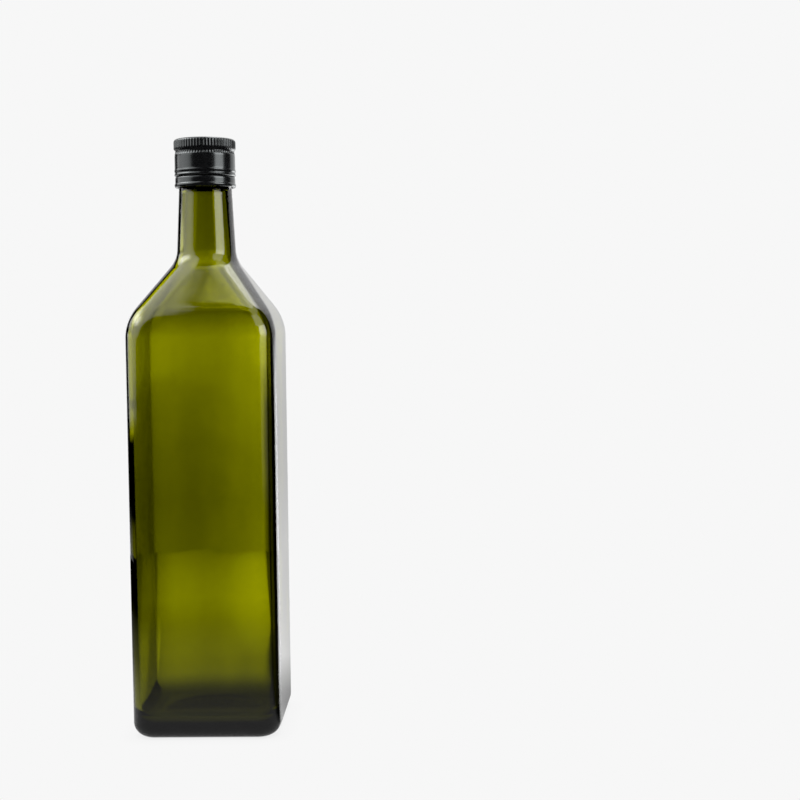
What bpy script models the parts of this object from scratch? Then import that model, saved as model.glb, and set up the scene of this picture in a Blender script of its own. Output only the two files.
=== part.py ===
"""Square olive oil bottle of green glass, with a black metal cap and its tamper band.

The origin is the middle of the base, on the surface that the bottle stands on, and +Z is up.
The flat faces of the body look along X and Y. All sizes are in metres.
"""

import math

import bmesh
import bpy

# Bottle, outside
SIDE = 0.0764
BODY_CORNER_RADIUS = 0.0120
HEEL_RADIUS = 0.0075
SHOULDER_HEIGHT = 0.2046
SHOULDER_CURVE = 0.0279
SHOULDER_SLOPE = math.radians(35.8)
SLOPE_HEIGHT = 0.0202
NECK_CURVE = 0.0165
NECK_TAPER = math.radians(2.8)
NECK_TOP = 0.2822
MOUTH_HEIGHT = 0.3065

# Bottle, inside
WALL = 0.0029
FLOOR_THICKNESS = 0.0075
FLOOR_CORNER = 0.0090
BORE_RADIUS = 0.0103

# Hollow under the base
PUSH_UP_RADIUS = 0.0260
PUSH_UP_DEPTH = 0.0030

# Plain finish that the cap closes over
COLLAR_RADIUS = 0.0149
COLLAR_LOW = 0.2848
COLLAR_HIGH = 0.2866
FINISH_RADIUS = 0.0142
LIP_RADIUS = 0.0012

# Cap
CAP_TOP = 0.3074
CAP_RADIUS = 0.01605
CAP_EDGE_RADIUS = 0.0016
CAP_TOP_THICKNESS = 0.0005
CAP_INSIDE_RADIUS = 0.01495
KNURL_LOW = 0.3024
KNURL_COUNT = 64
KNURL_DEPTH = 0.0003
GROOVE_RADIUS = 0.01530
GROOVE_HEIGHT = 0.3010
SKIRT_TOP = 0.2984
SKIRT_RADIUS = 0.01570
SKIRT_LOW = 0.2919
BEAD_RADIUS = 0.01605
UPPER_BEAD_HEIGHT = 0.2909
LOWER_BEAD_HEIGHT = 0.2888
CUT_HEIGHT = 0.2879
CUT_GAP = 0.0003
CUT_RADIUS = 0.01540

# Tamper band
BAND_TOP = 0.2868
BAND_RADIUS = 0.01560
BAND_LOW = 0.2845
BAND_BEAD_HEIGHT = 0.2833
BAND_BEAD_RADIUS = 0.01580
BAND_BOTTOM = 0.2824
BAND_THICKNESS = 0.00035
CURL_RADIUS = 0.01440

# Fineness of the faceting
POINTS_PER_QUARTER = 12
CORNER_CROWDING = 1.6
BAND_STEPS = 64
SHARP_ANGLE = math.radians(32.0)

HALF = SIDE / 2
BODY_FLAT = HALF - BODY_CORNER_RADIUS


def clear_scene():
    for old in list(bpy.data.objects):
        bpy.data.objects.remove(old, do_unlink=True)


def material(name, colour, roughness, metallic=0.0, transmission=0.0, ior=1.5):
    made = bpy.data.materials.new(name)
    made.use_nodes = True
    shader = made.node_tree.nodes["Principled BSDF"]
    shader.inputs["Base Color"].default_value = (*colour, 1.0)
    shader.inputs["Roughness"].default_value = roughness
    shader.inputs["Metallic"].default_value = metallic
    shader.inputs["Transmission Weight"].default_value = transmission
    shader.inputs["IOR"].default_value = ior
    return made


def arc(centre, radius, start, end, steps):
    """Points round an arc, both ends included; angles run from the outward direction."""
    points = []
    for step in range(steps + 1):
        angle = start + (end - start) * step / steps
        across = centre[0] + radius * math.cos(angle)
        up = centre[1] + radius * math.sin(angle)
        points.append((across, up))
    return points


def bearings():
    """Directions round the axis, crowded towards the corners of the square."""
    found = []
    half_steps = POINTS_PER_QUARTER // 2
    for quarter in range(4):
        corner = math.radians(45 + 90 * quarter)
        for step in range(-half_steps, half_steps):
            share = abs(step) / half_steps
            turn = math.radians(45) * share ** CORNER_CROWDING
            found.append(corner + math.copysign(turn, step))
    return found


def section(half, flat, height):
    """Points of a rounded square whose straight stretches are 2 * flat long."""
    corner = half - flat
    points = []
    for bearing in bearings():
        along, across = abs(math.cos(bearing)), abs(math.sin(bearing))
        longer, shorter = max(along, across), min(along, across)
        if half * shorter / longer <= flat:
            reach = half / longer
        else:
            middle = flat * (along + across)
            reach = middle + math.sqrt(middle ** 2 - 2 * flat ** 2 + corner ** 2)
        points.append((reach * math.cos(bearing), reach * math.sin(bearing), height))
    return points


def shoulder_rings(inset):
    """Half width, flat and height up the shoulder, from the body to the top of the neck."""
    foot_centre = (HALF - SHOULDER_CURVE, SHOULDER_HEIGHT)
    profile = arc(foot_centre, SHOULDER_CURVE - inset, 0, SHOULDER_SLOPE, 5)
    slope_foot = arc(foot_centre, SHOULDER_CURVE, SHOULDER_SLOPE, SHOULDER_SLOPE, 1)[0]
    slope_run = SLOPE_HEIGHT * math.tan(SHOULDER_SLOPE)
    slope_head = (slope_foot[0] - slope_run, slope_foot[1] + SLOPE_HEIGHT)
    neck_centre = (
        slope_head[0] + NECK_CURVE * math.cos(SHOULDER_SLOPE),
        slope_head[1] + NECK_CURVE * math.sin(SHOULDER_SLOPE),
    )
    start, end = math.pi + SHOULDER_SLOPE, math.pi + NECK_TAPER
    profile += arc(neck_centre, NECK_CURVE + inset, start, end, 5)
    neck_half = profile[-1][0]
    rings = []
    for half, height in profile:
        share = (half - neck_half) / (HALF - inset - neck_half)
        rings.append((half, BODY_FLAT * share, height))
    return rings


def outer_rings():
    """Half width, flat and height from the push-up under the base up to the mouth."""
    rings = []
    for share in (0.3, 0.6, 0.85):
        rise = PUSH_UP_DEPTH * math.cos(share * math.pi / 2)
        rings.append((PUSH_UP_RADIUS * share, 0, rise))
    rings.append((PUSH_UP_RADIUS, 0, 0))
    heel = arc((HALF - HEEL_RADIUS, HEEL_RADIUS), HEEL_RADIUS, -math.pi / 2, 0, 4)
    rings += [(half, BODY_FLAT, height) for half, height in heel]
    rings += shoulder_rings(0)
    neck_half, _, neck_foot = rings[-1]
    neck_head = neck_half - (NECK_TOP - neck_foot) * math.tan(NECK_TAPER)
    rings.append((neck_head, 0, NECK_TOP))
    rings.append((COLLAR_RADIUS, 0, COLLAR_LOW))
    rings.append((COLLAR_RADIUS, 0, COLLAR_HIGH))
    rings.append((FINISH_RADIUS, 0, COLLAR_HIGH + COLLAR_RADIUS - FINISH_RADIUS))
    lip_centre = (FINISH_RADIUS - LIP_RADIUS, MOUTH_HEIGHT - LIP_RADIUS)
    rings += [(half, 0, height) for half, height in arc(lip_centre, LIP_RADIUS, 0, math.pi / 2, 3)]
    return rings


def inner_rings():
    """Half width, flat and height from the mouth down the inside to the floor."""
    lip_centre = (BORE_RADIUS + LIP_RADIUS, MOUTH_HEIGHT - LIP_RADIUS)
    lip = arc(lip_centre, LIP_RADIUS, math.pi / 2, math.pi, 3)
    rings = [(half, 0, height) for half, height in lip]
    rings.append((BORE_RADIUS, 0, NECK_TOP))
    rings += reversed(shoulder_rings(WALL))
    corner_centre = (HALF - WALL - FLOOR_CORNER, FLOOR_THICKNESS + FLOOR_CORNER)
    floor_edge = arc(corner_centre, FLOOR_CORNER, 0, -math.pi / 2, 4)
    rings += [(half, BODY_FLAT, height) for half, height in floor_edge]
    for share in (0.85, 0.5):
        rise = PUSH_UP_DEPTH * math.cos(share * math.pi / 2)
        rings.append((PUSH_UP_RADIUS * share, 0, FLOOR_THICKNESS + rise))
    return rings


def loft(name, rings, start_height, end_height):
    """Closed body through the rings, with a point on the axis at each end."""
    shape = bmesh.new()
    loops = []
    for half, flat, height in rings:
        flat = min(flat, half * 0.999)
        loops.append([shape.verts.new(point) for point in section(half, flat, height)])
    count = len(loops[0])
    for lower, upper in zip(loops, loops[1:]):
        for place in range(count):
            after = (place + 1) % count
            shape.faces.new((lower[place], lower[after], upper[after], upper[place]))
    first = shape.verts.new((0, 0, start_height))
    last = shape.verts.new((0, 0, end_height))
    for place in range(count):
        after = (place + 1) % count
        shape.faces.new((loops[0][after], loops[0][place], first))
        shape.faces.new((loops[-1][place], loops[-1][after], last))
    mesh = bpy.data.meshes.new(name)
    shape.to_mesh(mesh)
    shape.free()
    return mesh


def turned(name, profile, steps):
    """Mesh of a profile turned about the Z axis; the profile runs down its outer side."""
    outline = bpy.data.meshes.new(name + "_outline")
    edges = [(place, place + 1) for place in range(len(profile) - 1)]
    outline.from_pydata([(across, 0, up) for across, up in profile], edges, [])
    if profile[0][0] > 0:
        joined = bmesh.new()
        joined.from_mesh(outline)
        joined.verts.ensure_lookup_table()
        joined.edges.new((joined.verts[len(profile) - 1], joined.verts[0]))
        joined.to_mesh(outline)
        joined.free()
    blank = bpy.data.objects.new(name + "_blank", outline)
    bpy.context.scene.collection.objects.link(blank)
    screw = blank.modifiers.new("Turn", "SCREW")
    screw.axis = "Z"
    screw.steps = steps
    screw.render_steps = steps
    screw.use_merge_vertices = True
    screw.merge_threshold = 0.00001
    graph = bpy.context.evaluated_depsgraph_get()
    mesh = bpy.data.meshes.new_from_object(blank.evaluated_get(graph))
    bpy.data.objects.remove(blank, do_unlink=True)
    bpy.data.meshes.remove(outline)
    mesh.name = name
    return mesh


def press_knurls(mesh):
    """Draws every second upright row of the cap's knurled band inwards."""
    spacing = math.pi / KNURL_COUNT
    band_top = CAP_TOP - CAP_EDGE_RADIUS
    for vertex in mesh.vertices:
        reach = math.hypot(vertex.co.x, vertex.co.y)
        in_band = KNURL_LOW - 0.0001 < vertex.co.z < band_top + 0.0001
        row = round(math.atan2(vertex.co.y, vertex.co.x) / spacing)
        if in_band and reach > CAP_RADIUS - 0.0001 and row % 2:
            shrink = (CAP_RADIUS - KNURL_DEPTH) / CAP_RADIUS
            vertex.co.x *= shrink
            vertex.co.y *= shrink


def cap_profile():
    edge_centre = (CAP_RADIUS - CAP_EDGE_RADIUS, CAP_TOP - CAP_EDGE_RADIUS)
    profile = [(0, CAP_TOP)]
    profile += arc(edge_centre, CAP_EDGE_RADIUS, math.pi / 2, 0, 3)
    profile.append((CAP_RADIUS, KNURL_LOW))
    profile.append((GROOVE_RADIUS, GROOVE_HEIGHT))
    profile.append((SKIRT_RADIUS, SKIRT_TOP))
    profile.append((SKIRT_RADIUS, SKIRT_LOW))
    profile.append((BEAD_RADIUS, UPPER_BEAD_HEIGHT))
    profile.append((SKIRT_RADIUS, (UPPER_BEAD_HEIGHT + LOWER_BEAD_HEIGHT) / 2))
    profile.append((BEAD_RADIUS, LOWER_BEAD_HEIGHT))
    profile.append((CUT_RADIUS, CUT_HEIGHT + CUT_GAP / 2))
    profile.append((CAP_INSIDE_RADIUS, CUT_HEIGHT + CUT_GAP / 2))
    profile.append((CAP_INSIDE_RADIUS, CAP_TOP - CAP_EDGE_RADIUS))
    inside_edge = CAP_RADIUS - CAP_EDGE_RADIUS
    profile.append((inside_edge, CAP_TOP - CAP_TOP_THICKNESS))
    profile.append((0, CAP_TOP - CAP_TOP_THICKNESS))
    return profile


def band_profile():
    inside = BAND_RADIUS - BAND_THICKNESS
    return [
        (CUT_RADIUS, CUT_HEIGHT - CUT_GAP / 2),
        (BAND_RADIUS, BAND_TOP),
        (BAND_RADIUS, BAND_LOW),
        (BAND_BEAD_RADIUS, BAND_BEAD_HEIGHT),
        (BAND_BEAD_RADIUS - BAND_THICKNESS, BAND_BOTTOM),
        (CURL_RADIUS, BAND_BOTTOM),
        (CURL_RADIUS, BAND_BOTTOM + BAND_THICKNESS),
        (inside, BAND_BOTTOM + 2 * BAND_THICKNESS),
        (inside, CUT_HEIGHT - CUT_GAP / 2),
    ]


def place(mesh, name, look, collection):
    mesh.shade_smooth()
    mesh.set_sharp_from_angle(angle=SHARP_ANGLE)
    mesh.materials.clear()
    mesh.materials.append(look)
    made = bpy.data.objects.new(name, mesh)
    collection.objects.link(made)
    return made


def build():
    clear_scene()
    bottle = bpy.data.collections.new("olive_oil_bottle")
    bpy.context.scene.collection.children.link(bottle)
    glass = material("green_glass", (0.20, 0.22, 0.01), 0.03, transmission=1.0, ior=1.52)
    lacquer = material("black_lacquer", (0.012, 0.012, 0.013), 0.22)

    rings = outer_rings() + inner_rings()
    floor_middle = FLOOR_THICKNESS + PUSH_UP_DEPTH
    body = loft("glass_bottle", rings, PUSH_UP_DEPTH, floor_middle)
    place(body, "glass_bottle", glass, bottle)

    cap = turned("screw_cap", cap_profile(), 2 * KNURL_COUNT)
    press_knurls(cap)
    place(cap, "screw_cap", lacquer, bottle)

    band = turned("tamper_band", band_profile(), BAND_STEPS)
    place(band, "tamper_band", lacquer, bottle)


build()
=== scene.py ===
"""Looks of the square olive oil bottle: clear green glass, black lacquered cap and tamper band."""
import math

import bpy
from mathutils import Matrix, Vector


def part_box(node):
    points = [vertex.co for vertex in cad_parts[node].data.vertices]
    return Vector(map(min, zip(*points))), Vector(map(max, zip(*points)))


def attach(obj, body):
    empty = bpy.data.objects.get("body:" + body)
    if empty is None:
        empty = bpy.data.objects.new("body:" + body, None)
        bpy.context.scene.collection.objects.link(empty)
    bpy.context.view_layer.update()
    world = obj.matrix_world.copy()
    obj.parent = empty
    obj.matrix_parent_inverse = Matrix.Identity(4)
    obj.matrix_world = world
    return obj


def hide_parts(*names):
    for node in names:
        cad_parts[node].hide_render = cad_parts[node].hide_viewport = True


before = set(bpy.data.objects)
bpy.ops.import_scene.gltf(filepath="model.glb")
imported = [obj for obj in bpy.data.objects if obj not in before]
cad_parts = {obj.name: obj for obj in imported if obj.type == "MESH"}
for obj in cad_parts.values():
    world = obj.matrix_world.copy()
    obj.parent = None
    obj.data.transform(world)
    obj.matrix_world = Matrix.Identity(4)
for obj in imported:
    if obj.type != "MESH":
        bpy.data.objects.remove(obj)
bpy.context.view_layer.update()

MM = 0.001

# Sizes that the frame gives
glass_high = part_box("glass_bottle")[1]
cap_low, cap_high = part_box("screw_cap")
band_low, band_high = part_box("tamper_band")
HALF = glass_high.x
MOUTH = glass_high.z
CAP_TOP = cap_high.z
CAP_RADIUS = cap_high.x
CUT_UPPER = cap_low.z
CUT_LOWER = band_high.z
BAND_BOTTOM = band_low.z

# Glass, as in the frame's solid
BODY_CORNER = 12.0 * MM
BODY_FLAT = HALF - BODY_CORNER
HEEL = 7.5 * MM
SHOULDER_HEIGHT = 204.6 * MM
SHOULDER_CURVE = 27.9 * MM
SHOULDER_SLOPE = math.radians(35.8)
SLOPE_HEIGHT = 20.2 * MM
NECK_CURVE = 16.5 * MM
NECK_TAPER = math.radians(2.8)
NECK_TOP = 282.2 * MM
COLLAR_RADIUS = 14.9 * MM
COLLAR_LOW = 284.8 * MM
COLLAR_HIGH = 286.6 * MM
FINISH_RADIUS = 14.2 * MM
LIP = 1.2 * MM
BORE = 10.3 * MM
WALL = 2.9 * MM
FLOOR = 7.5 * MM
INNER_CORNER = 9.5 * MM
INNER_FLAT = HALF - WALL - INNER_CORNER
FLOOR_CORNER = 9.0 * MM
PUSH_UP_RADIUS = 26.0 * MM
PUSH_UP = 3.0 * MM

# Cap and band, as in the frame's solids
CAP_EDGE = 1.6 * MM
SHEET = 0.35 * MM
KNURL_LOW = 302.4 * MM
KNURL_COUNT = 64
KNURL_DEPTH = 0.25 * MM
GROOVE_RADIUS = 15.30 * MM
GROOVE_HEIGHT = 301.0 * MM
STEP_HEIGHT = 299.4 * MM
TOOTH_TOP = 300.7 * MM
TOOTH_SHARE = 0.8
STEP_RADIUS = 15.62 * MM
SKIRT_TOP = 298.4 * MM
SKIRT_RADIUS = 15.70 * MM
SKIRT_LOW = 291.9 * MM
BEAD_RADIUS = 16.02 * MM
UPPER_BEAD = 290.9 * MM
VALLEY = 289.85 * MM
LOWER_BEAD = 288.8 * MM
CUT_RADIUS = 15.40 * MM
BAND_TOP = 286.8 * MM
BAND_RADIUS = 15.60 * MM
BAND_LOW = 284.55 * MM
BAND_FLARE = 284.2 * MM
BAND_FLARE_RADIUS = 15.82 * MM
BAND_BEAD = 283.4 * MM
BAND_BEAD_RADIUS = 15.97 * MM
CURL_RADIUS = 14.40 * MM

# Small curves where the straight stretches of an outline meet
FINISH_EASE = 0.6 * MM
CAP_EASE = 0.45 * MM
BAND_EASE = 0.4 * MM

# Columns round each piece, and how much those of the glass crowd towards its corners
GLASS_COLUMNS = 224
GLASS_CROWDING = 1.5
COLUMNS_PER_KNURL = 10
BAND_COLUMNS = 192
CLOSING_DISTANCE = 0.002 * MM

# Slow waves of the inner surface, and the share of their height that each stretch has
WAVE_HEIGHT = 0.42 * MM
WAVE_SIZE = 34 * MM
WAVE_SEED = 4.0
NECK_WAVES = 0.35
SHOULDER_WAVES = 0.3
WALL_WAVES = 1
FLOOR_EDGE_WAVES = 0.8
FLOOR_WAVES = 0.5

# Glass: what its surface lets through, how it bends light, and the colour that its thickness gives
GLASS_TINT = (0.97, 0.98, 0.95, 1)
GLASS_IOR = 1.52
GLASS_COLOUR = (0.8164, 0.8184, 0.0, 1)
GLASS_DENSITY = 1250.0

# Camera, found from the outline of the bottle in an 800 by 800 picture
CAMERA_PLACE = Vector((0.1118, -0.7603, 0.2193))
CAMERA_HEADING = math.radians(-0.847)
CAMERA_PITCH = math.radians(3.678)
CAMERA_ROLL = math.radians(-0.599)
CAMERA_LENS = 65.1
SENSOR = 36.0

# Point near the right front corner, from which the painted bright far side is measured on the table
CORNER_POINT = 30 * MM

# Fixed point from which the table's painted paler and darker bands of light fan out, straight below the main
# camera
FAN_POINT = (0.112, -0.760)
TABLE_RADIUS = 0.55
TABLE_POINTS = 96

# Paper white that the camera sees round the bottle, as a linear value
PAPER = 0.93

# A ray that has crossed more faces of the glass than this has left the far wall
FACES_CROSSED = 3.5

# Share of its light that a ray keeps after a bounce inside the glass wall
BOUNCED = 0.1


def arc(centre, radius, start, end, steps):
    """Points round an arc, both ends included; angles run from the outward direction."""
    points = []
    for step in range(steps + 1):
        angle = start + (end - start) * step / steps
        points.append((centre[0] + radius * math.cos(angle), centre[1] + radius * math.sin(angle)))
    return points


def straight(start, end, steps):
    """Points after start along a straight line, end included."""
    a, b = Vector(start), Vector(end)
    return [tuple(a.lerp(b, step / steps)) for step in range(1, steps + 1)]


def eased(outline, radius, steps=5):
    """The outline with each inner point replaced by a small curve of about that radius."""
    points = [outline[0]]
    for before, here, after in zip(outline, outline[1:], outline[2:]):
        here, before, after = Vector(here), Vector(before), Vector(after)
        reach_in = min(radius, (here - before).length * 0.45)
        reach_out = min(radius, (after - here).length * 0.45)
        start = here + (before - here).normalized() * reach_in
        end = here + (after - here).normalized() * reach_out
        for step in range(steps + 1):
            share = step / steps
            first = start.lerp(here, share)
            second = here.lerp(end, share)
            points.append(tuple(first.lerp(second, share)))
    points.append(outline[-1])
    return points


def shoulder(inset, body_flat):
    """Half width, height and flat from the top of the body to the foot of the neck."""
    foot_centre = (HALF - SHOULDER_CURVE, SHOULDER_HEIGHT)
    convex = arc(foot_centre, SHOULDER_CURVE - inset, 0, SHOULDER_SLOPE, 22)
    foot = arc(foot_centre, SHOULDER_CURVE, SHOULDER_SLOPE, SHOULDER_SLOPE, 1)[0]
    head = (foot[0] - SLOPE_HEIGHT * math.tan(SHOULDER_SLOPE), foot[1] + SLOPE_HEIGHT)
    neck_centre = (
        head[0] + NECK_CURVE * math.cos(SHOULDER_SLOPE),
        head[1] + NECK_CURVE * math.sin(SHOULDER_SLOPE),
    )
    start, end = math.pi + SHOULDER_SLOPE, math.pi + NECK_TAPER
    concave = arc(neck_centre, NECK_CURVE + inset, start, end, 16)
    points = convex + straight(convex[-1], concave[0], 8)[:-1] + concave
    neck_half = concave[-1][0]
    rows = []
    for half, height in points:
        share = (half - neck_half) / (HALF - inset - neck_half)
        rows.append((half, height, body_flat * share))
    return rows


def dome(base_height, steps):
    """Half width and height from the rim of the push-up to just short of its middle."""
    points = []
    for step in range(steps):
        share = 1 - step / steps
        points.append((PUSH_UP_RADIUS * share, base_height + PUSH_UP * math.cos(share * math.pi / 2)))
    return points


def glass_rows():
    """Rows of the glass: half width, height, flat, and how much the inner surface waves there."""
    rows = [(0, PUSH_UP, 0, 0)]
    rows += [(half, height, 0, 0) for half, height in reversed(dome(0, 14))]
    heel = arc((HALF - HEEL, HEEL), HEEL, -math.pi / 2, 0, 14)
    rows += [(half, height, BODY_FLAT, 0) for half, height in heel]
    wall = straight(heel[-1], (HALF, SHOULDER_HEIGHT), 40)[:-1]
    rows += [(half, height, BODY_FLAT, 0) for half, height in wall]
    outer = shoulder(0, BODY_FLAT)
    rows += [(half, height, flat, 0) for half, height, flat in outer]
    neck_half, neck_foot, _ = outer[-1]
    neck_head = neck_half - (NECK_TOP - neck_foot) * math.tan(NECK_TAPER)
    neck = straight((neck_half, neck_foot), (neck_head, NECK_TOP), 10)
    rows += [(half, height, 0, 0) for half, height in neck]
    finish = [
        (neck_head, NECK_TOP),
        (COLLAR_RADIUS, COLLAR_LOW),
        (COLLAR_RADIUS, COLLAR_HIGH),
        (FINISH_RADIUS, COLLAR_HIGH + COLLAR_RADIUS - FINISH_RADIUS),
        (FINISH_RADIUS, MOUTH - LIP),
    ]
    rows += [(half, height, 0, 0) for half, height in eased(finish, FINISH_EASE)[1:]]
    lip = arc((FINISH_RADIUS - LIP, MOUTH - LIP), LIP, 0, math.pi / 2, 6)[1:]
    lip += arc((BORE + LIP, MOUTH - LIP), LIP, math.pi / 2, math.pi, 6)
    rows += [(half, height, 0, 0) for half, height in lip]
    inner = shoulder(WALL, INNER_FLAT)
    neck_half, neck_foot, _ = inner[-1]
    bore = straight((BORE, NECK_TOP), (neck_half, neck_foot), 12)[:-1]
    rows.append((BORE, NECK_TOP, 0, 0))
    rows += [(half, height, 0, NECK_WAVES) for half, height in bore]
    rows += [(half, height, flat, SHOULDER_WAVES) for half, height, flat in reversed(inner)]
    low = (HALF - WALL, FLOOR + FLOOR_CORNER)
    wall = straight((HALF - WALL, SHOULDER_HEIGHT), low, 60)[:-1]
    rows += [(half, height, INNER_FLAT, WALL_WAVES) for half, height in wall]
    centre = (HALF - WALL - FLOOR_CORNER, FLOOR + FLOOR_CORNER)
    floor_edge = arc(centre, FLOOR_CORNER, 0, -math.pi / 2, 14)
    rows += [(half, height, INNER_FLAT, FLOOR_EDGE_WAVES) for half, height in floor_edge]
    rows += [(half, height, 0, FLOOR_WAVES) for half, height in dome(FLOOR, 12)]
    rows.append((0, FLOOR + PUSH_UP, 0, FLOOR_WAVES))
    return rows


def cap_rows():
    """Rows of the cap, from under its top, down its inside and up its outside."""
    inside = SKIRT_RADIUS - SHEET
    outline = [
        (0, CAP_TOP - SHEET),
        (CAP_RADIUS - CAP_EDGE, CAP_TOP - SHEET),
        (CAP_RADIUS - SHEET, CAP_TOP - CAP_EDGE),
        (CAP_RADIUS - 2 * SHEET, KNURL_LOW),
        (GROOVE_RADIUS - SHEET, GROOVE_HEIGHT + SHEET),
        (GROOVE_RADIUS - SHEET, GROOVE_HEIGHT - SHEET),
        (inside, SKIRT_TOP),
        (inside, SKIRT_LOW),
        (CUT_RADIUS - SHEET, VALLEY),
        (CUT_RADIUS - SHEET, CUT_UPPER),
        (CUT_RADIUS, CUT_UPPER),
        (BEAD_RADIUS, LOWER_BEAD),
        (SKIRT_RADIUS - 0.15 * MM, VALLEY),
        (BEAD_RADIUS, UPPER_BEAD),
        (SKIRT_RADIUS, SKIRT_LOW),
        (SKIRT_RADIUS, SKIRT_TOP),
        (STEP_RADIUS, STEP_HEIGHT),
        (GROOVE_RADIUS, GROOVE_HEIGHT - 0.4 * MM),
        (GROOVE_RADIUS, GROOVE_HEIGHT + 0.2 * MM),
        (CAP_RADIUS, KNURL_LOW),
    ]
    rows = []
    for half, height in eased(outline, CAP_EASE, 4)[:-1]:
        toothed = half > GROOVE_RADIUS - SHEET / 2 and STEP_HEIGHT < height < TOOTH_TOP
        rows.append((half, height, 0, TOOTH_SHARE if toothed else 0))
    knurl_top = CAP_TOP - CAP_EDGE
    knurled = [(CAP_RADIUS, KNURL_LOW)] + straight((CAP_RADIUS, KNURL_LOW), (CAP_RADIUS, knurl_top), 4)
    rows += [(half, height, 0, 1) for half, height in knurled]
    edge = arc((CAP_RADIUS - CAP_EDGE, knurl_top), CAP_EDGE, 0, math.pi / 2, 9)[1:]
    for place, (half, height) in enumerate(edge):
        rows.append((half, height, 0, max(0, 1 - (place + 1) / 5)))
    top = straight(edge[-1], (0, CAP_TOP), 8)
    rows += [(half, height, 0, 0) for half, height in top]
    return rows


def band_rows():
    """Rows of the tamper band, from its cut edge down the inside and up the outside."""
    inside = BAND_RADIUS - SHEET
    outline = [
        (CUT_RADIUS, CUT_LOWER),
        (inside, CUT_LOWER),
        (inside, BAND_BOTTOM + 2 * SHEET),
        (CURL_RADIUS, BAND_BOTTOM + SHEET),
        (CURL_RADIUS, BAND_BOTTOM),
        (BAND_BEAD_RADIUS - SHEET, BAND_BOTTOM),
        (BAND_BEAD_RADIUS, BAND_BEAD),
        (BAND_FLARE_RADIUS, BAND_FLARE),
        (BAND_RADIUS, BAND_LOW),
        (BAND_RADIUS, BAND_TOP),
        (CUT_RADIUS, CUT_LOWER),
    ]
    return [(half, height, 0, 0) for half, height in eased(outline, BAND_EASE, 4)]


class Nodes:
    """Short words for building a node tree: fields in, fields out."""

    def __init__(self, tree):
        self.tree = tree

    def add(self, kind, **settings):
        made = self.tree.nodes.new(kind)
        for key, value in settings.items():
            setattr(made, key, value)
        return made

    def feed(self, socket, value):
        if isinstance(value, bpy.types.NodeSocket):
            self.tree.links.new(value, socket)
        else:
            socket.default_value = value

    def maths(self, operation, *values, whole=False):
        kind = "FunctionNodeIntegerMath" if whole else "ShaderNodeMath"
        made = self.add(kind, operation=operation)
        for place, value in enumerate(values):
            self.feed(made.inputs[place], value)
        return made.outputs[0]

    def vector_maths(self, operation, first, second, socket=0):
        made = self.add("ShaderNodeVectorMath", operation=operation)
        self.feed(made.inputs[0], first)
        self.feed(made.inputs["Scale"] if operation == "SCALE" else made.inputs[1], second)
        return made.outputs[socket]


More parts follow.
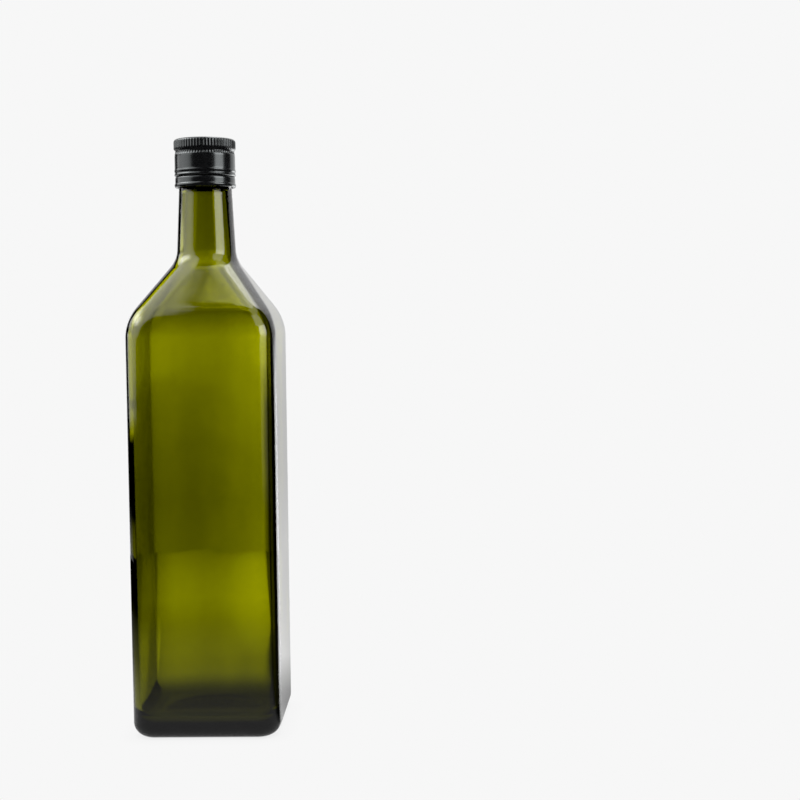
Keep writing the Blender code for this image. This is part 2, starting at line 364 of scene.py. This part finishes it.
def round_tree():
    """Geometry tree that carries a profile round the axis, as a rounded square or a circle."""
    tree = bpy.data.node_groups.new("carry_round", "GeometryNodeTree")
    for name, kind, default in (
        ("Geometry", "NodeSocketGeometry", None),
        ("Columns", "NodeSocketInt", 256),
        ("Crowding", "NodeSocketFloat", 1.0),
        ("Knurls", "NodeSocketInt", 0),
        ("Knurl Depth", "NodeSocketFloat", 0.0),
        ("Wave Height", "NodeSocketFloat", 0.0),
        ("Wave Size", "NodeSocketFloat", 0.03),
        ("Seed", "NodeSocketFloat", 4.0),
        ("Material", "NodeSocketMaterial", None),
    ):
        socket = tree.interface.new_socket(name, in_out="INPUT", socket_type=kind)
        if default is not None:
            socket.default_value = default
    tree.interface.new_socket("Geometry", in_out="OUTPUT", socket_type="NodeSocketGeometry")
    n = Nodes(tree)
    given = n.add("NodeGroupInput").outputs

    # A sheet of points: one column for each bearing, one row for each profile point
    size = n.add("GeometryNodeAttributeDomainSize", component="MESH")
    n.feed(size.inputs["Geometry"], given["Geometry"])
    rows = size.outputs["Point Count"]
    sheet = n.add("GeometryNodeMeshGrid")
    n.feed(sheet.inputs["Vertices X"], n.maths("ADD", given["Columns"], 1, whole=True))
    n.feed(sheet.inputs["Vertices Y"], rows)
    index = n.add("GeometryNodeInputIndex").outputs[0]
    column = n.maths("DIVIDE_FLOOR", index, rows, whole=True)
    row = n.maths("MODULO", index, rows, whole=True)

    def of_row(field, kind):
        taken = n.add("GeometryNodeSampleIndex", data_type=kind, domain="POINT")
        n.feed(taken.inputs["Geometry"], given["Geometry"])
        n.feed(taken.inputs["Value"], field)
        n.feed(taken.inputs["Index"], row)
        return taken.outputs[0]

    def named(name):
        wanted = n.add("GeometryNodeInputNamedAttribute", data_type="FLOAT")
        wanted.inputs["Name"].default_value = name
        return wanted.outputs["Attribute"]

    place = n.add("ShaderNodeSeparateXYZ")
    n.feed(place.inputs[0], of_row(n.add("GeometryNodeInputPosition").outputs[0], "FLOAT_VECTOR"))
    half, height = place.outputs["X"], place.outputs["Z"]
    flat = of_row(named("flat"), "FLOAT")
    relief = of_row(named("relief"), "FLOAT")

    # Bearing of the column, crowded towards the corners
    quarters = n.maths("DIVIDE", n.maths("MULTIPLY", column, 4.0), given["Columns"])
    corner_number = n.maths("FLOOR", quarters)
    offset = n.maths("MULTIPLY_ADD", n.maths("FRACT", quarters), 2.0, -1.0)
    eased_offset = n.maths("POWER", n.maths("ABSOLUTE", offset), given["Crowding"])
    turn = n.maths("MULTIPLY", eased_offset, n.maths("SIGN", offset))
    turn = n.maths("MULTIPLY", n.maths("ADD", turn, 1.0), math.pi / 4)
    bearing = n.maths("ADD", turn, n.maths("MULTIPLY", corner_number, math.pi / 2))

    # Reach from the axis to the outline of the rounded square at that bearing
    cosine, sine = n.maths("COSINE", bearing), n.maths("SINE", bearing)
    along, across = n.maths("ABSOLUTE", cosine), n.maths("ABSOLUTE", sine)
    longer, shorter = n.maths("MAXIMUM", along, across), n.maths("MINIMUM", along, across)
    to_face = n.maths("DIVIDE", half, longer)
    middle = n.maths("MULTIPLY", flat, n.maths("ADD", along, across))
    corner = n.maths("SUBTRACT", half, flat)
    under_root = n.maths("MULTIPLY_ADD", middle, middle, n.maths("MULTIPLY", corner, corner))
    twice_flat = n.maths("MULTIPLY", n.maths("MULTIPLY", flat, flat), 2.0)
    under_root = n.maths("MAXIMUM", n.maths("SUBTRACT", under_root, twice_flat), 0.0)
    to_corner = n.maths("ADD", middle, n.maths("SQRT", under_root))
    on_face = n.maths("LESS_THAN", n.maths("MULTIPLY", to_face, shorter), flat)
    gap = n.maths("SUBTRACT", to_face, to_corner)
    reach = n.maths("MULTIPLY_ADD", gap, on_face, to_corner)

    # Knurls draw the reach in between their crests
    swing = n.maths("COSINE", n.maths("MULTIPLY", bearing, given["Knurls"]))
    valley = n.maths("POWER", n.maths("MULTIPLY_ADD", swing, -0.5, 0.5), 0.8)
    cut = n.maths("MULTIPLY", n.maths("MULTIPLY", valley, relief), given["Knurl Depth"])
    reach = n.maths("SUBTRACT", reach, cut)

    spot = n.add("ShaderNodeCombineXYZ")
    n.feed(spot.inputs["X"], n.maths("MULTIPLY", reach, cosine))
    n.feed(spot.inputs["Y"], n.maths("MULTIPLY", reach, sine))
    n.feed(spot.inputs["Z"], height)
    kept = n.add("GeometryNodeStoreNamedAttribute", data_type="FLOAT", domain="POINT")
    n.feed(kept.inputs["Geometry"], sheet.outputs["Mesh"])
    n.feed(kept.inputs["Name"], "relief")
    n.feed(kept.inputs["Value"], relief)
    bent = n.add("GeometryNodeSetPosition")
    n.feed(bent.inputs["Geometry"], kept.outputs[0])
    n.feed(bent.inputs["Position"], spot.outputs[0])
    closed = n.add("GeometryNodeMergeByDistance")
    n.feed(closed.inputs["Geometry"], bent.outputs[0])
    n.feed(closed.inputs["Distance"], CLOSING_DISTANCE)

    # Slow waves of the blown inner surface
    waves = n.add("ShaderNodeTexNoise", noise_dimensions="4D")
    here = n.add("GeometryNodeInputPosition").outputs[0]
    n.feed(waves.inputs["Vector"], n.vector_maths("SCALE", here, n.maths("DIVIDE", 1.0, given["Wave Size"])))
    n.feed(waves.inputs["W"], given["Seed"])
    n.feed(waves.inputs["Scale"], 1.0)
    n.feed(waves.inputs["Detail"], 1.5)
    swell = n.maths("MULTIPLY", n.maths("SUBTRACT", waves.outputs[0], 0.5), given["Wave Height"])
    swell = n.maths("MULTIPLY", swell, named("relief"))
    push = n.vector_maths("SCALE", n.add("GeometryNodeInputNormal").outputs[0], swell)
    waved = n.add("GeometryNodeSetPosition")
    n.feed(waved.inputs["Geometry"], closed.outputs[0])
    n.feed(waved.inputs["Offset"], push)

    smooth = n.add("GeometryNodeSetShadeSmooth")
    n.feed(smooth.inputs["Geometry"], waved.outputs[0])
    real = n.add("GeometryNodeRealizeInstances")
    n.feed(real.inputs["Geometry"], smooth.outputs[0])
    finished = n.add("GeometryNodeSetMaterial")
    n.feed(finished.inputs["Geometry"], real.outputs[0])
    n.feed(finished.inputs["Material"], given["Material"])
    n.feed(n.add("NodeGroupOutput").inputs["Geometry"], finished.outputs[0])
    return tree


def carried_round(name, tree, rows, look, **sizes):
    """A plain mesh object made by carrying the rows round the axis."""
    profile = bpy.data.meshes.new(name + "_profile")
    edges = [(place, place + 1) for place in range(len(rows) - 1)]
    profile.from_pydata([(half, 0, height) for half, height, _, _ in rows], edges, [])
    flats = profile.attributes.new("flat", "FLOAT", "POINT")
    reliefs = profile.attributes.new("relief", "FLOAT", "POINT")
    for place, (_, _, flat, relief) in enumerate(rows):
        flats.data[place].value = flat
        reliefs.data[place].value = relief
    blank = bpy.data.objects.new(name + "_blank", profile)
    bpy.context.scene.collection.objects.link(blank)
    modifier = blank.modifiers.new("Carry round", "NODES")
    modifier.node_group = tree
    identifiers = {}
    for item in tree.interface.items_tree:
        if item.in_out == "INPUT":
            identifiers[item.name] = item.identifier
    modifier[identifiers["Material"]] = look
    for size, value in sizes.items():
        modifier[identifiers[size.replace("_", " ").title()]] = value
    graph = bpy.context.evaluated_depsgraph_get()
    mesh = bpy.data.meshes.new_from_object(blank.evaluated_get(graph))
    bpy.data.objects.remove(blank, do_unlink=True)
    mesh.name = name
    if not mesh.materials:
        mesh.materials.append(look)
    made = bpy.data.objects.new(name, mesh)
    bpy.context.scene.collection.objects.link(made)
    return made


def new_material(name):
    made = bpy.data.materials.new(name)
    made.use_nodes = True
    shader = made.node_tree.nodes["Principled BSDF"]
    output = made.node_tree.nodes["Material Output"]
    return made, Nodes(made.node_tree), shader, output


def green_glass():
    """Clear olive-green glass: colour from absorption inside the wall, a very faint surface ripple."""
    made, n, shader, output = new_material("olive_green_glass")
    shader.inputs["Base Color"].default_value = GLASS_TINT
    shader.inputs["Transmission Weight"].default_value = 1.0
    shader.inputs["IOR"].default_value = GLASS_IOR
    where = n.add("ShaderNodeTexCoord").outputs["Object"]
    smear = n.add("ShaderNodeTexNoise")
    n.feed(smear.inputs["Vector"], where)
    n.feed(smear.inputs["Scale"], 40.0)
    n.feed(smear.inputs["Detail"], 3.0)
    gloss = n.add("ShaderNodeMapRange")
    n.feed(gloss.inputs["Value"], smear.outputs[0])
    n.feed(gloss.inputs["From Min"], 0.45)
    n.feed(gloss.inputs["From Max"], 0.75)
    n.feed(gloss.inputs["To Min"], 0.0)
    n.feed(gloss.inputs["To Max"], 0.035)
    n.feed(shader.inputs["Roughness"], gloss.outputs[0])
    skin = n.add("ShaderNodeTexNoise")
    n.feed(skin.inputs["Vector"], where)
    n.feed(skin.inputs["Scale"], 75.0)
    n.feed(skin.inputs["Detail"], 1.0)
    bump = n.add("ShaderNodeBump")
    n.feed(bump.inputs["Strength"], 0.2)
    n.feed(bump.inputs["Distance"], 0.00012)
    n.feed(bump.inputs["Height"], skin.outputs[0])
    n.feed(shader.inputs["Normal"], bump.outputs[0])
    depth = n.add("ShaderNodeVolumeAbsorption")
    depth.inputs["Color"].default_value = GLASS_COLOUR
    depth.inputs["Density"].default_value = GLASS_DENSITY
    n.feed(output.inputs["Volume"], depth.outputs[0])
    return made


def black_lacquer():
    """Black lacquer on thin aluminium: half gloss, with a faint mottle and fine rings from rolling."""
    made, n, shader, _ = new_material("black_cap_lacquer")
    shader.inputs["IOR"].default_value = 1.5
    shader.inputs["Coat Weight"].default_value = 0.3
    shader.inputs["Coat Roughness"].default_value = 0.12
    shader.inputs["Specular Tint"].default_value = (0.92, 0.99, 1.0, 1)
    shader.inputs["Coat Tint"].default_value = (0.95, 0.99, 1.0, 1)
    where = n.add("ShaderNodeTexCoord").outputs["Object"]
    mottle = n.add("ShaderNodeTexNoise")
    n.feed(mottle.inputs["Vector"], where)
    n.feed(mottle.inputs["Scale"], 420.0)
    n.feed(mottle.inputs["Detail"], 4.0)
    shade = n.add("ShaderNodeValToRGB")
    shade.color_ramp.elements[0].color = (0.002, 0.002, 0.0022, 1)
    shade.color_ramp.elements[1].color = (0.006, 0.006, 0.0066, 1)
    n.feed(shade.inputs[0], mottle.outputs[0])
    n.feed(shader.inputs["Base Color"], shade.outputs[0])
    rub = n.add("ShaderNodeMapRange")
    n.feed(rub.inputs["Value"], mottle.outputs[0])
    n.feed(rub.inputs["To Min"], 0.14)
    n.feed(rub.inputs["To Max"], 0.28)
    n.feed(shader.inputs["Roughness"], rub.outputs[0])
    place = n.add("ShaderNodeSeparateXYZ")
    n.feed(place.inputs[0], where)
    rings = n.add("ShaderNodeTexNoise", noise_dimensions="1D")
    n.feed(rings.inputs["W"], place.outputs["Z"])
    n.feed(rings.inputs["Scale"], 5200.0)
    grain = n.maths("MULTIPLY_ADD", mottle.outputs[0], 0.6, rings.outputs[0])
    bump = n.add("ShaderNodeBump")
    n.feed(bump.inputs["Strength"], 0.25)
    n.feed(bump.inputs["Distance"], 0.00002)
    n.feed(bump.inputs["Height"], grain)
    n.feed(shader.inputs["Normal"], bump.outputs[0])
    return made


def ramp(n, value, low, high, start, end):
    """A value that eases from start to end while the given one runs from low to high."""
    made = n.add("ShaderNodeMapRange", interpolation_type="SMOOTHSTEP")
    n.feed(made.inputs["Value"], value)
    n.feed(made.inputs["From Min"], low)
    n.feed(made.inputs["From Max"], high)
    n.feed(made.inputs["To Min"], start)
    n.feed(made.inputs["To Max"], end)
    return made.outputs[0]


def step_up(n, value, edge, soft):
    """0 below the edge and 1 above it, eased over the soft width; the edge may be a value of its own."""
    beyond = n.maths("SUBTRACT", value, edge)
    return ramp(n, beyond, -soft / 2, soft / 2, 0.0, 1.0)


def between(n, value, low, high, soft):
    """1 between the two edges and 0 outside them."""
    falling = n.maths("SUBTRACT", 1.0, step_up(n, value, high, soft))
    return n.maths("MULTIPLY", step_up(n, value, low, soft), falling)


def product(n, *values):
    made = values[0]
    for value in values[1:]:
        made = n.maths("MULTIPLY", made, value)
    return made


def total(n, *values):
    made = values[0]
    for value in values[1:]:
        made = n.maths("ADD", made, value)
    return made


def degrees(n, first, second):
    """Angle in degrees whose tangent is first over second."""
    return n.maths("MULTIPLY", n.maths("ARCTAN2", first, second), 180 / math.pi)


def curve(n, value, points):
    """A value that follows straight lines between the given points."""
    made = points[0][1]
    for (low, start), (high, end) in zip(points, points[1:]):
        part = n.add("ShaderNodeMapRange")
        n.feed(part.inputs["Value"], value)
        n.feed(part.inputs["From Min"], low)
        n.feed(part.inputs["From Max"], high)
        n.feed(part.inputs["To Min"], 0.0)
        n.feed(part.inputs["To Max"], end - start)
        made = n.maths("ADD", made, part.outputs[0])
    return made


def panels(n, turn, rise, inside):
    """Lit panels that the bottle mirrors; turn is 0 in front and 90 at the right, rise is 0 level.

    Inside is 1 for light that leaves the glass again, which sees a little more of the left panel.
    """
    # Tall panel at the left, whose near edge leans over the bottle
    near_edge = curve(n, rise, [
        (-5, -64), (5, -47), (20, -39), (32, -34), (40, -15.5), (50, -15.3), (59, -18), (68, -24),
        (69.6, -27.7),
    ])
    far_edge = n.maths("MULTIPLY_ADD", inside, -20.0, curve(n, rise, [(2, -122), (10, -119), (16, -130)]))
    low_edge = n.maths("MULTIPLY_ADD", inside, -0.25, -4.4)
    past_edge = n.maths("SUBTRACT", 1.0, step_up(n, turn, near_edge, 2.2))
    towards_edge = curve(n, n.maths("SUBTRACT", turn, near_edge), [(-16, 1.0), (-2, 0.6)])
    glow = n.maths("MULTIPLY", curve(n, rise, [(-5, 1.3), (6, 2.0), (60, 2.7)]), towards_edge)
    left = product(n, step_up(n, turn, far_edge, 6.0), past_edge, step_up(n, rise, low_edge, 0.7), glow)
    neck_part = n.maths("SUBTRACT", 1.0, step_up(n, turn, -92.0, 12.0))
    dimmed = product(n, between(n, rise, 6.8, 14.0, 1.2), neck_part, -0.5)
    left = n.maths("MULTIPLY_ADD", left, dimmed, left)
    hot = product(n, between(n, turn, -116.0, -64.0, 26.0), between(n, rise, 29.0, 45.0, 12.0), 6.0)
    # Overhead panel and the paler ceiling at the right
    rim = curve(n, turn, [
        (-27, 69.9), (-24, 69.9), (-21, 70.2), (-15, 71.5), (-10, 73.5), (0, 76), (30, 79), (50, 78.5),
        (75, 75.5), (115, 64),
    ])
    above_strength = curve(n, turn, [
        (-28, 0.0), (-27.2, 0.35), (-26.4, 0.37), (-24, 0.93), (-19, 1.2), (43, 1.8), (100, 2.2),
    ])
    above = n.maths("MULTIPLY", step_up(n, rise, rim, 0.8), above_strength)
    ceiling = product(n, between(n, turn, 50.0, 130.0, 12.0), between(n, rise, 57.0, 73.0, 3.0), 0.9)
    # Narrower panel at the right of the camera, brightest at the height of the shoulder
    upper = product(n, between(n, turn, 33.0, 80.0, 8.0), between(n, rise, 31.0, 58.0, 5.0), 1.8)
    strong = curve(n, rise, [(-8, 0.0), (-6, 0.3), (-3, 0.45), (1, 2.2), (5, 3.2), (9, 4.6), (14, 6.2)])
    below_upper = n.maths("SUBTRACT", 1.0, step_up(n, rise, 31.0, 4.0))
    lower_left = curve(n, rise, [(-1, 43), (4, 47.5), (16, 45.5)])
    lower_right = curve(n, rise, [(3, 77), (7, 83)])
    lower = product(n, between(n, turn, lower_left, lower_right, 6.0), below_upper, strong)
    # Dim wall low down at the left
    far_left = n.maths("SUBTRACT", 1.0, step_up(n, turn, -112.0, 16.0))
    fall = n.maths("MULTIPLY", rise, -1.0)
    low_left = product(n, far_left, step_up(n, fall, 9.0, 3.0), 0.55)
    # Light mirrored by the inner face of the shoulder, which looks straight up into the overhead panel
    lamp = curve(n, turn, [
        (-60, 0.0), (-50, 3.4), (-28.6, 3.4), (-28.0, 1.0), (-26.6, 1.0), (-25.6, 7.2), (60, 7.2), (80, 0.0),
    ])
    lamp = product(n, lamp, step_up(n, rise, 69.7, 0.8), inside)
    return total(n, left, hot, above, ceiling, upper, lower, low_left, lamp)


def far_side(n, turn, rise):
    """The bright corner behind the bottle at the right and the dimmer one at the left."""
    low_part = n.maths("SUBTRACT", 1.0, step_up(n, rise, -2.0, 5.0))
    strong = product(n, step_up(n, turn, 132.0, 9.0), curve(n, turn, [(150, 3.2), (174, 0.8)]), low_part)
    strong = n.maths("MULTIPLY", strong, curve(n, rise, [(-9.4, 1.2), (-6.5, 1.05)]))
    upper_part = n.maths("SUBTRACT", 1.0, low_part)
    weak_edge = curve(n, rise, [(20, 122), (40, 126)])
    weak = product(
        n, step_up(n, turn, weak_edge, 9.0), upper_part, curve(n, rise, [(20, 0.95), (48, 2.0), (55, 6.0)]),
    )
    left = product(n, n.maths("SUBTRACT", 1.0, step_up(n, turn, -147.0, 8.0)), 0.7)
    return total(n, strong, weak, left)


def backdrop(n, behind, rise):
    """The wall that shows through the glass; behind is 0 straight behind the bottle, left below 0."""
    up = curve(n, rise, [
        (-20, 0.65), (-12, 0.5), (-9.4, 0.36), (-7.4, 0.31), (-5.5, 0.385), (-3.7, 0.48), (-3, 0.57),
        (-2, 0.80), (-1.2, 0.84), (0, 0.66), (1, 0.52), (3, 0.34), (12, 0.22),
    ])
    # Paler bands from side to side: low on the wall, at the height of the body's top, and at the neck
    low = curve(n, behind, [
        (-13, 1.22), (-11, 1.15), (-10, 1.18), (-9.2, 1.0), (-8.7, 1.0), (-8.3, 1.15), (-7.8, 1.4),
        (-7.2, 1.7), (-6, 1.85), (-3.5, 1.95), (-1.5, 2.2), (0.5, 1.9), (2, 1.2), (6, 0.8), (9, 0.65),
        (16, 0.3), (60, 0.8),
    ])
    middle = curve(n, behind, [
        (-20, 1.35), (-11, 1.2), (-10, 1.15), (-9, 1.0), (-8, 0.96), (-7.6, 1.08), (-7, 1.3), (-6, 1.45),
        (-4, 1.7), (0, 2.2), (18, 1.8), (35, 0.5), (60, 0.8),
    ])
    high = curve(n, behind, [
        (-24, 2.1), (-14, 1.9), (-12.5, 1.1), (-8, 0.9), (-5.2, 0.95), (-3.8, 2.4), (-2, 2.3), (3, 3.0),
        (7, 1.2), (11, 1.0), (15, 1.2), (23, 1.9), (40, 1.0),
    ])
    share = choice(n, step_up(n, rise, -3.0, 2.0), low, middle)
    share = choice(n, step_up(n, rise, 2.6, 2.4), share, high)
    return n.maths("MULTIPLY", up, share)


def choice(n, chooser, otherwise, chosen):
    made = n.add("ShaderNodeMix", data_type="FLOAT")
    n.feed(made.inputs[0], chooser)
    n.feed(made.inputs[2], otherwise)
    n.feed(made.inputs[3], chosen)
    return made.outputs[0]


def through_both_walls(n, path):
    """1 for light that has crossed both walls of the hollow bottle."""
    deep = n.maths("GREATER_THAN", path["Transmission Depth"], FACES_CROSSED)
    return n.maths("MULTIPLY", deep, path["Is Transmission Ray"])


def kept_light(n, path):
    """1 for light that went straight through the walls, a small share after a bounce inside them."""
    bounced = n.maths("GREATER_THAN", path["Glossy Depth"], 0.5)
    return n.maths("MULTIPLY_ADD", bounced, BOUNCED - 1.0, 1.0)


def studio_floor():
    """A pale round table top that glows: its light and shade are painted, and the glass mirrors it and shows
    it through as a softly lit one.
    """
    made = bpy.data.materials.new("pale_table")
    made.use_nodes = True
    n = Nodes(made.node_tree)
    made.node_tree.nodes.clear()
    path = n.add("ShaderNodeLightPath").outputs
    where = n.add("ShaderNodeTexCoord").outputs["Object"]
    place = n.add("ShaderNodeSeparateXYZ")
    n.feed(place.inputs[0], where)
    away = n.add("ShaderNodeVectorMath", operation="LENGTH")
    n.feed(away.inputs[0], where)
    distance = away.outputs["Value"]
    turn = degrees(n, place.outputs["X"], n.maths("MULTIPLY", place.outputs["Y"], -1.0))
    fan = degrees(
        n, n.maths("SUBTRACT", place.outputs["X"], FAN_POINT[0]),
        n.maths("SUBTRACT", place.outputs["Y"], FAN_POINT[1]),
    )
    # Painted light and shade that shows through both walls: a painted shadow darkest under the bottle,
    # palest at a third of a metre
    through = curve(n, distance, [
        (0.02, 0.15), (0.06, 0.36), (0.11, 0.50), (0.16, 0.58), (0.20, 0.60), (0.24, 0.62), (0.28, 0.72),
        (0.33, 0.82), (0.41, 0.77), (0.48, 0.68), (0.53, 0.56), (0.56, 0.40),
    ])
    # Painted paler and darker bands of light that fan out from the fixed point
    bands = curve(n, fan, [
        (-15, 0.45), (-13.3, 0.82), (-11, 0.97), (-9.8, 1.1), (-9.2, 1.05), (-8.7, 0.95), (-8.2, 0.97),
        (-7.6, 1.13), (-7.2, 1.3), (-6.6, 1.42), (-4, 1.45),
    ])
    right_end = curve(n, distance, [
        (0.06, -5.5), (0.11, -5.3), (0.16, -4.9), (0.20, -3.9), (0.24, -2.3), (0.28, -2.5), (0.33, -3.0),
        (0.53, -3.2),
    ])
    ended = n.maths("MULTIPLY_ADD", step_up(n, n.maths("SUBTRACT", fan, right_end), 0.0, 1.6), -0.8, 1.0)
    right_share = curve(n, distance, [(0.14, -0.28), (0.23, 0.1)])
    near_right = n.maths("MULTIPLY", step_up(n, fan, -7.5, 0.8), right_share)
    fan_left = n.maths("MULTIPLY", fan, -1.0)
    left_share = curve(n, distance, [(0.20, 0.8), (0.28, 0.0)])
    near_left = n.maths("MULTIPLY", step_up(n, fan_left, 11.8, 0.8), left_share)
    through = product(n, through, bands, ended, total(n, 1.0, near_right, near_left), kept_light(n, path))
    # Painted light that the glass mirrors: dim in front, brighter at the left and behind
    near = curve(n, distance, [(0.08, 0.45), (0.20, 0.12), (0.34, 0.0)])
    side = curve(n, turn, [(-110, 1.6), (-50, 1.0), (66, 1.0), (80, 0.05)])
    from_corner = degrees(
        n, n.maths("SUBTRACT", place.outputs["X"], CORNER_POINT),
        n.maths("MULTIPLY", n.maths("ADD", place.outputs["Y"], CORNER_POINT), -1.0),
    )
    strong = curve(n, from_corner, [(152, 3.0), (174, 0.95)])
    strong = n.maths("MULTIPLY", step_up(n, from_corner, 131.0, 12.0), strong)
    # Distance from the foot of the bottle
    along = n.maths("ABSOLUTE", place.outputs["X"])
    across = n.maths("ABSOLUTE", place.outputs["Y"])
    out_x = n.maths("MAXIMUM", n.maths("SUBTRACT", along, BODY_FLAT), 0.0)
    out_y = n.maths("MAXIMUM", n.maths("SUBTRACT", across, BODY_FLAT), 0.0)
    outside = n.maths("SQRT", n.maths("MULTIPLY_ADD", out_x, out_x, n.maths("MULTIPLY", out_y, out_y)))
    mirrored_only = n.maths("SUBTRACT", 1.0, path["Is Transmission Ray"])
    # Painted shadow: the painted bright far side is darkened close to the foot of the bottle
    strong = product(n, strong, mirrored_only, curve(n, outside, [(0.01, 0.3), (0.04, 0.45), (0.12, 1.0)]))
    mirrored = n.maths("MULTIPLY_ADD", near, side, strong)
    # What the camera sees: paper white with a faint painted shadow close to the glass, darker nearer the
    # foot
    seen = curve(n, outside, [(0.005, 0.6), (0.007, 0.9), (0.012, 0.98), (0.020, 1.0)])
    light = choice(n, through_both_walls(n, path), mirrored, through)
    plain = n.maths("MAXIMUM", path["Is Camera Ray"], path["Is Diffuse Ray"])
    # The table is an emission, so its painted shadow, painted light and paper white all come from this
    # strength
    glow = n.add("ShaderNodeEmission")
    n.feed(glow.inputs["Strength"], choice(n, plain, light, n.maths("MULTIPLY", seen, PAPER)))
    n.feed(n.add("ShaderNodeOutputMaterial").inputs["Surface"], glow.outputs[0])
    bpy.ops.mesh.primitive_circle_add(vertices=TABLE_POINTS, radius=TABLE_RADIUS, fill_type="NGON")
    floor = bpy.context.object
    floor.name = "studio_floor"
    floor.data.materials.append(made)


def studio_world():
    """Paper white to the camera, lit panels in a dark room in the gloss, a lit wall through the glass."""
    world = bpy.data.worlds.new("studio")
    bpy.context.scene.world = world
    world.use_nodes = True
    n = Nodes(world.node_tree)
    world.node_tree.nodes.clear()
    path = n.add("ShaderNodeLightPath").outputs
    way = n.add("ShaderNodeSeparateXYZ")
    n.feed(way.inputs[0], n.add("ShaderNodeTexCoord").outputs["Generated"])
    turn = degrees(n, way.outputs["X"], n.maths("MULTIPLY", way.outputs["Y"], -1.0))
    behind = degrees(n, way.outputs["X"], way.outputs["Y"])
    rise = n.maths("MULTIPLY", n.maths("ARCSINE", way.outputs["Z"]), 180 / math.pi)
    inside = path["Is Transmission Ray"]
    mirrored_only = n.maths("SUBTRACT", 1.0, inside)
    room = n.maths("MULTIPLY_ADD", far_side(n, turn, rise), mirrored_only, panels(n, turn, rise, inside))
    wall = n.maths("MULTIPLY", backdrop(n, behind, rise), kept_light(n, path))
    light = choice(n, through_both_walls(n, path), room, wall)
    light = choice(n, path["Is Diffuse Ray"], light, 1.0)
    light = choice(n, path["Is Camera Ray"], light, PAPER)
    background = n.add("ShaderNodeBackground")
    background.inputs["Color"].default_value = (1, 1, 1, 1)
    n.feed(background.inputs["Strength"], light)
    n.feed(n.add("ShaderNodeOutputWorld").inputs["Surface"], background.outputs[0])


def camera():
    data = bpy.data.cameras.new("camera")
    data.sensor_width = SENSOR
    data.lens = CAMERA_LENS
    data.clip_start = 0.01
    made = bpy.data.objects.new("camera", data)
    bpy.context.scene.collection.objects.link(made)
    turn = Matrix.Rotation(-CAMERA_HEADING, 4, "Z")
    tip = Matrix.Rotation(math.pi / 2 - CAMERA_PITCH, 4, "X")
    roll = Matrix.Rotation(CAMERA_ROLL, 4, "Z")
    made.matrix_world = Matrix.Translation(CAMERA_PLACE) @ turn @ tip @ roll
    bpy.context.scene.camera = made


def dress():
    """Each piece stands for its node and rides with the one body."""
    tree = round_tree()
    glass = carried_round(
        "bottle_glass", tree, glass_rows(), green_glass(),
        columns=GLASS_COLUMNS, crowding=GLASS_CROWDING,
        wave_height=WAVE_HEIGHT, wave_size=WAVE_SIZE, seed=WAVE_SEED,
    )
    lacquer = black_lacquer()
    cap = carried_round(
        "cap_shell", tree, cap_rows(), lacquer,
        columns=KNURL_COUNT * COLUMNS_PER_KNURL, knurls=KNURL_COUNT, knurl_depth=KNURL_DEPTH,
    )
    band = carried_round("band_ring", tree, band_rows(), lacquer, columns=BAND_COLUMNS)
    for piece, node, slot in (
        (glass, "glass_bottle", "green_glass"),
        (cap, "screw_cap", "black_lacquer"),
        (band, "tamper_band", "black_lacquer"),
    ):
        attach(piece, "root")
        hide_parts(node)


camera()
dress()
studio_floor()
studio_world()
bpy.context.scene.view_settings.view_transform = "Standard"
